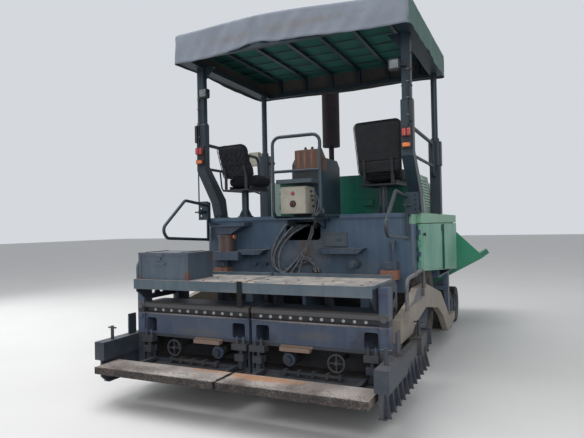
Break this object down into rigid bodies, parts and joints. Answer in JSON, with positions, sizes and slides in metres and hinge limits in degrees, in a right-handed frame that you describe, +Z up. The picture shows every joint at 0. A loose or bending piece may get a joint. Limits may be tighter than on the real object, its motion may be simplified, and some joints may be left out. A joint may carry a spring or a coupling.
{
  "type": "wheeled asphalt paver",
  "caption": "Wheeled asphalt paver with a receiving hopper, twin conveyors, augers, a roofed operator stand and a towed extending screed.",
  "frame": {"origin": "on the ground under the middle of the machine's box", "axes": "+Y the driving direction, +X the machine's right side, +Z up"},
  "size_m": [3.2316, 6.36, 3.745],
  "materials": {
    "hull_grey": "satin",
    "screed_grey": "worn",
    "hood_green": "gloss",
    "door_green": "faded",
    "wing_green": "satin",
    "console_green": "satin",
    "switch_box": "satin",
    "steel": "dull",
    "engine_iron": "rough",
    "rusty_steel": "rough",
    "dusty_steel": "rough",
    "tyre_rubber": "matt",
    "hose_rubber": "matt",
    "vinyl": "worn",
    "tarp": "weathered",
    "lamp_plastic": "gloss"
  },
  "bodies": {
    "chassis": {"main_frame": "hull_grey", "upper_body": "hull_grey", "engine": "engine_iron", "hood": "hood_green", "exhaust": "rusty_steel", "canopy_posts": "hull_grey", "canopy_frame": "hull_grey", "canopy_cover": "tarp", "lamps": "lamp_plastic", "console": "console_green", "switch_box": "switch_box", "handrails": "hull_grey", "wall_fittings": "steel", "hoses": "hose_rubber", "seat_pedestals": "steel", "hopper_body": "hull_grey", "conveyor": "steel", "push_beam": "hull_grey", "bogies": "hull_grey", "rear_axle": "steel"},
    "hood_lid": {"hood_lid": "hood_green"},
    "screed": {"tow_arms": "dusty_steel", "main_screed": "screed_grey", "deck_brackets": "screed_grey", "screed_deck": "dusty_steel", "toolbox": "screed_grey"},
    "toolbox_lid": {"toolbox_lid": "screed_grey"},
    "seat_left": {"seat_frame_left": "steel", "seat_pads_left": "vinyl"},
    "door_rear_left": {"door_rear_left": "door_green"},
    "door_front_left": {"door_front_left": "door_green"},
    "wing_left": {"wing_left": "wing_green"},
    "push_roller_left": {"push_roller_left": "steel"},
    "rear_wheel_left": {"rear_wheel_left": "tyre_rubber"},
    "auger_left": {"auger_left": "steel"},
    "extension_left": {"extension_left": "screed_grey", "end_gate_left": "screed_grey"},
    "walkway_left": {"walkway_left": "rusty_steel"},
    "knuckle_left_rear": {"knuckle_left_rear": "steel"},
    "front_wheel_left_rear": {"front_wheel_left_rear": "tyre_rubber"},
    "knuckle_left_front": {"knuckle_left_front": "steel"},
    "front_wheel_left_front": {"front_wheel_left_front": "tyre_rubber"},
    "seat_right": {"seat_frame_right": "steel", "seat_pads_right": "vinyl"},
    "door_rear_right": {"door_rear_right": "door_green"},
    "door_front_right": {"door_front_right": "door_green"},
    "wing_right": {"wing_right": "wing_green"},
    "push_roller_right": {"push_roller_right": "steel"},
    "rear_wheel_right": {"rear_wheel_right": "tyre_rubber"},
    "auger_right": {"auger_right": "steel"},
    "extension_right": {"extension_right": "screed_grey", "end_gate_right": "screed_grey"},
    "walkway_right": {"walkway_right": "rusty_steel"},
    "knuckle_right_rear": {"knuckle_right_rear": "steel"},
    "front_wheel_right_rear": {"front_wheel_right_rear": "tyre_rubber"},
    "knuckle_right_front": {"knuckle_right_front": "steel"},
    "front_wheel_right_front": {"front_wheel_right_front": "tyre_rubber"}
  },
  "joints": [
    {"name": "hood_lid_hinge", "type": "hinge", "parent": "chassis", "child": "hood_lid", "pos_m": [0, 1.576, 1.74], "axis": [-1, 0, 0], "range_deg": [0, 55]},
    {"name": "seat_left_swivel", "type": "hinge", "parent": "chassis", "child": "seat_left", "pos_m": [-0.796, -1.25, 2], "axis": [0, 0, 1], "range_deg": [-65, 115]},
    {"name": "seat_right_swivel", "type": "hinge", "parent": "chassis", "child": "seat_right", "pos_m": [0.812, -0.97, 2], "axis": [0, 0, 1], "range_deg": [-75, 105]},
    {"name": "door_rear_left_hinge", "type": "hinge", "parent": "chassis", "child": "door_rear_left", "pos_m": [-1.237, -1.161, 1.4], "axis": [0, 0, 1], "range_deg": [0, 85]},
    {"name": "door_front_left_hinge", "type": "hinge", "parent": "chassis", "child": "door_front_left", "pos_m": [-1.237, 1.566, 1.4], "axis": [0, 0, -1], "range_deg": [0, 85]},
    {"name": "wing_left_hinge", "type": "hinge", "parent": "chassis", "child": "wing_left", "pos_m": [-0.72, 2.3, 0.61], "axis": [0, 1, 0], "range_deg": [0, 50]},
    {"name": "push_roller_left_spin", "type": "hinge", "parent": "chassis", "child": "push_roller_left", "pos_m": [-0.4, 3.1, 0.48], "axis": [1, 0, 0], "continuous": true},
    {"name": "rear_wheel_left_spin", "type": "hinge", "parent": "chassis", "child": "rear_wheel_left", "pos_m": [-0.97, -0.58, 0.69], "axis": [1, 0, 0], "continuous": true},
    {"name": "auger_left_spin", "type": "hinge", "parent": "chassis", "child": "auger_left", "pos_m": [-0.6, -1.65, 0.42], "axis": [1, 0, 0], "continuous": true},
    {"name": "door_rear_right_hinge", "type": "hinge", "parent": "chassis", "child": "door_rear_right", "pos_m": [1.237, -1.161, 1.4], "axis": [0, 0, -1], "range_deg": [0, 85]},
    {"name": "door_front_right_hinge", "type": "hinge", "parent": "chassis", "child": "door_front_right", "pos_m": [1.237, 1.566, 1.4], "axis": [0, 0, 1], "range_deg": [0, 85]},
    {"name": "wing_right_hinge", "type": "hinge", "parent": "chassis", "child": "wing_right", "pos_m": [0.72, 2.3, 0.61], "axis": [0, -1, 0], "range_deg": [0, 50]},
    {"name": "push_roller_right_spin", "type": "hinge", "parent": "chassis", "child": "push_roller_right", "pos_m": [0.4, 3.1, 0.48], "axis": [1, 0, 0], "continuous": true},
    {"name": "rear_wheel_right_spin", "type": "hinge", "parent": "chassis", "child": "rear_wheel_right", "pos_m": [0.97, -0.58, 0.69], "axis": [1, 0, 0], "continuous": true},
    {"name": "auger_right_spin", "type": "hinge", "parent": "chassis", "child": "auger_right", "pos_m": [0.6, -1.65, 0.42], "axis": [1, 0, 0], "continuous": true},
    {"name": "steer_left_rear", "type": "hinge", "parent": "chassis", "child": "knuckle_left_rear", "pos_m": [-0.8, 1.48, 0.28], "axis": [0, 0, 1], "range_deg": [-18, 18]},
    {"name": "front_wheel_left_rear_spin", "type": "hinge", "parent": "knuckle_left_rear", "child": "front_wheel_left_rear", "pos_m": [-1, 1.48, 0.28], "axis": [1, 0, 0], "continuous": true},
    {"name": "steer_left_front", "type": "hinge", "parent": "chassis", "child": "knuckle_left_front", "pos_m": [-0.8, 2.12, 0.28], "axis": [0, 0, 1], "range_deg": [-18, 18]},
    {"name": "front_wheel_left_front_spin", "type": "hinge", "parent": "knuckle_left_front", "child": "front_wheel_left_front", "pos_m": [-1, 2.12, 0.28], "axis": [1, 0, 0], "continuous": true},
    {"name": "steer_right_rear", "type": "hinge", "parent": "chassis", "child": "knuckle_right_rear", "pos_m": [0.8, 1.48, 0.28], "axis": [0, 0, 1], "range_deg": [-18, 18]},
    {"name": "front_wheel_right_rear_spin", "type": "hinge", "parent": "knuckle_right_rear", "child": "front_wheel_right_rear", "pos_m": [1, 1.48, 0.28], "axis": [1, 0, 0], "continuous": true},
    {"name": "steer_right_front", "type": "hinge", "parent": "chassis", "child": "knuckle_right_front", "pos_m": [0.8, 2.12, 0.28], "axis": [0, 0, 1], "range_deg": [-18, 18]},
    {"name": "front_wheel_right_front_spin", "type": "hinge", "parent": "knuckle_right_front", "child": "front_wheel_right_front", "pos_m": [1, 2.12, 0.28], "axis": [1, 0, 0], "continuous": true},
    {"name": "screed_lift", "type": "hinge", "parent": "chassis", "child": "screed", "pos_m": [0, 1.085, 0.28], "axis": [-1, 0, 0], "range_deg": [-2.4, 1.5]},
    {"name": "toolbox_lid_hinge", "type": "hinge", "parent": "screed", "child": "toolbox_lid", "pos_m": [-0.845, -2.318, 1.354], "axis": [-1, 0, 0], "range_deg": [0, 100]},
    {"name": "extension_left_slide", "type": "slide", "parent": "screed", "child": "extension_left", "axis": [-1, 0, 0], "range_m": [0, 1.2]},
    {"name": "walkway_left_hinge", "type": "hinge", "parent": "extension_left", "child": "walkway_left", "pos_m": [-0.6, -2.862, 0.338], "axis": [-1, 0, 0], "range_deg": [0, 88]},
    {"name": "extension_right_slide", "type": "slide", "parent": "screed", "child": "extension_right", "axis": [1, 0, 0], "range_m": [0, 1.2]},
    {"name": "walkway_right_hinge", "type": "hinge", "parent": "extension_right", "child": "walkway_right", "pos_m": [0.6, -2.862, 0.338], "axis": [-1, 0, 0], "range_deg": [0, 88]}
  ],
  "couplings": [
    {"joint": "steer_left_front", "follows": "steer_left_rear", "ratio": 1},
    {"joint": "steer_right_rear", "follows": "steer_left_rear", "ratio": 1},
    {"joint": "steer_right_front", "follows": "steer_left_rear", "ratio": 1}
  ]
}
